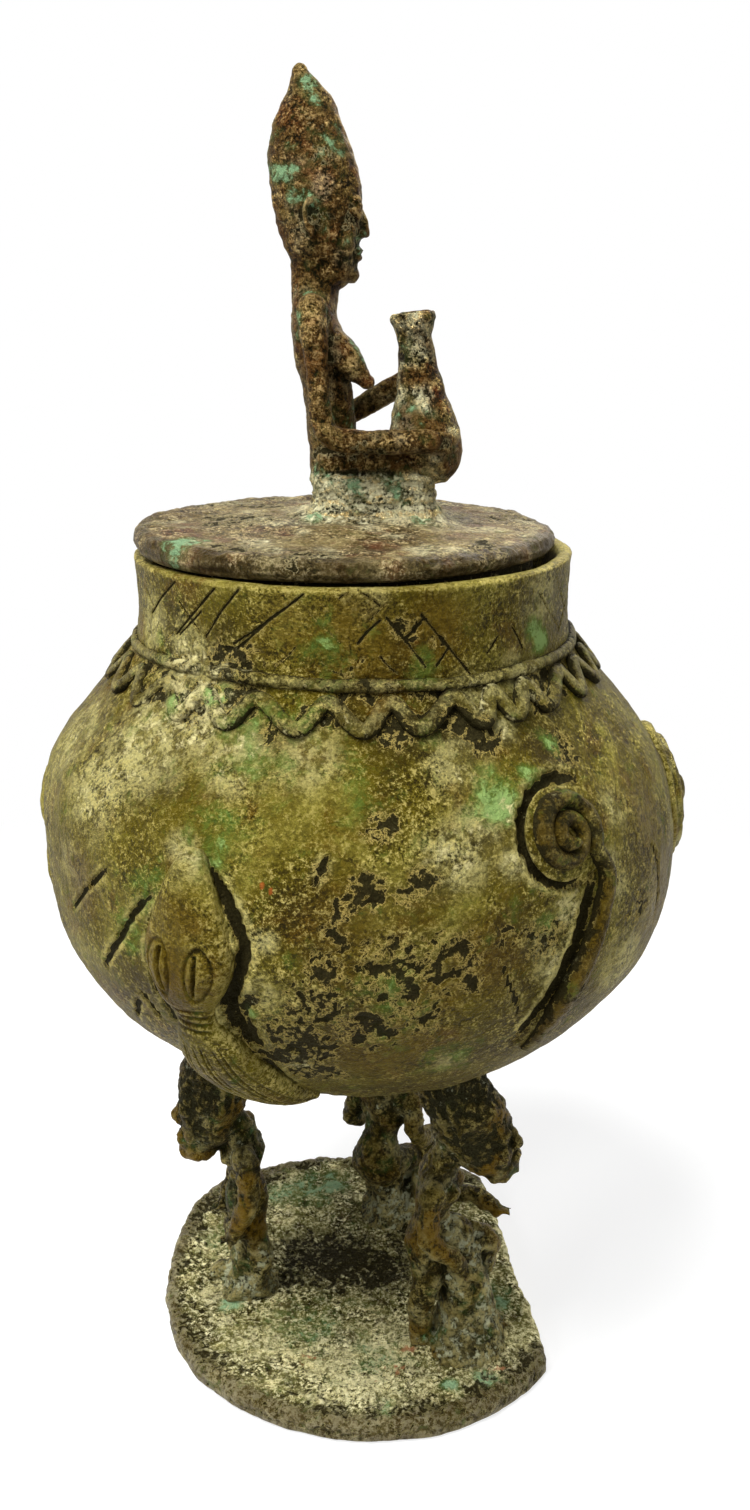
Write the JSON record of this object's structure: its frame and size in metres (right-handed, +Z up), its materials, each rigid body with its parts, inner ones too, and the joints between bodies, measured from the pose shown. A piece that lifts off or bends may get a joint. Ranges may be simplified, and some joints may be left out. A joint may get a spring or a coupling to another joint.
{
  "type": "cast bronze lidded container",
  "caption": "Round cast bronze pot with an upright neck, carried on the heads of standing figures, with a lift-off lid that holds a seated figure with a jar.",
  "frame": {"origin": "underside of the base plate, under the middle of the pot", "axes": "+Z up, +X to the right of the front view and the way that the seated figure faces, +Y away from the viewer"},
  "size_m": [0.1734, 0.167, 0.3406],
  "materials": {
    "olive_brass": "aged olive-green brass with dark brown crust, cream deposits and green patches",
    "figure_brass": "dark brown and green encrusted brass with worn amber high spots",
    "brown_brass": "dark brown brass, rough, with cream and green speckle and shiny worn edges",
    "crusted_brass": "pale cream and grey-green crust over brown brass"
  },
  "bodies": {
    "container": {"base_plate": "crusted_brass", "pot_shell": "olive_brass", "neck_coil": "olive_brass", "wave_coil": "olive_brass", "reptile_relief": "olive_brass", "snake_coil": "olive_brass", "snake_tail": "olive_brass", "right_relief": "olive_brass", "left_relief": "olive_brass", "left_figure_body": "figure_brass", "left_figure_head": "figure_brass", "left_figure_right_arm": "figure_brass", "left_figure_left_arm": "figure_brass", "front_figure_body": "figure_brass", "front_figure_head": "figure_brass", "front_figure_right_arm": "figure_brass", "front_figure_left_arm": "figure_brass", "rear_figure_body": "figure_brass", "rear_figure_head": "figure_brass", "rear_figure_right_arm": "figure_brass", "rear_figure_left_arm": "figure_brass"},
    "lid": {"lid_plate": "brown_brass", "locating_ring": "brown_brass", "figure_seat": "brown_brass", "figure_torso": "brown_brass", "figure_head": "brown_brass", "figure_near_arm": "brown_brass", "figure_far_arm": "brown_brass", "jar": "brown_brass"}
  },
  "joints": [
    {"name": "lid_lift", "type": "slide", "parent": "container", "child": "lid", "axis": [0, 0, 1], "range_m": [0, 0.15]}
  ]
}
